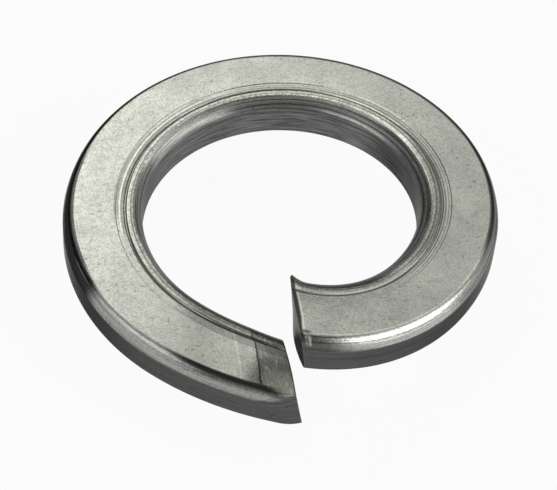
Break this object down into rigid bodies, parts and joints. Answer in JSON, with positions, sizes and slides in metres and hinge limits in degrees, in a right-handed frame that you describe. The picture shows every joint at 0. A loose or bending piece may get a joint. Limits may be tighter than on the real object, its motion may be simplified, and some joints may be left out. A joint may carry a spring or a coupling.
{
  "type": "spring lock washer",
  "caption": "Split spring lock washer: a flat zinc-plated steel bar coiled into one turn, with bent ends, that keeps a threaded joint under load.",
  "frame": {"origin": "on the hole's axis, level with the lowest point of the low end", "axes": "+Z along the hole's axis, towards the high end; the cut faces -Y, with the low end on -X's side of it and the high end on +X's side"},
  "size_m": [0.0274, 0.0274, 0.0091],
  "materials": {
    "zinc_steel": "satin"
  },
  "bodies": {
    "root": {"spring_washer": "zinc_steel"}
  },
  "joints": []
}
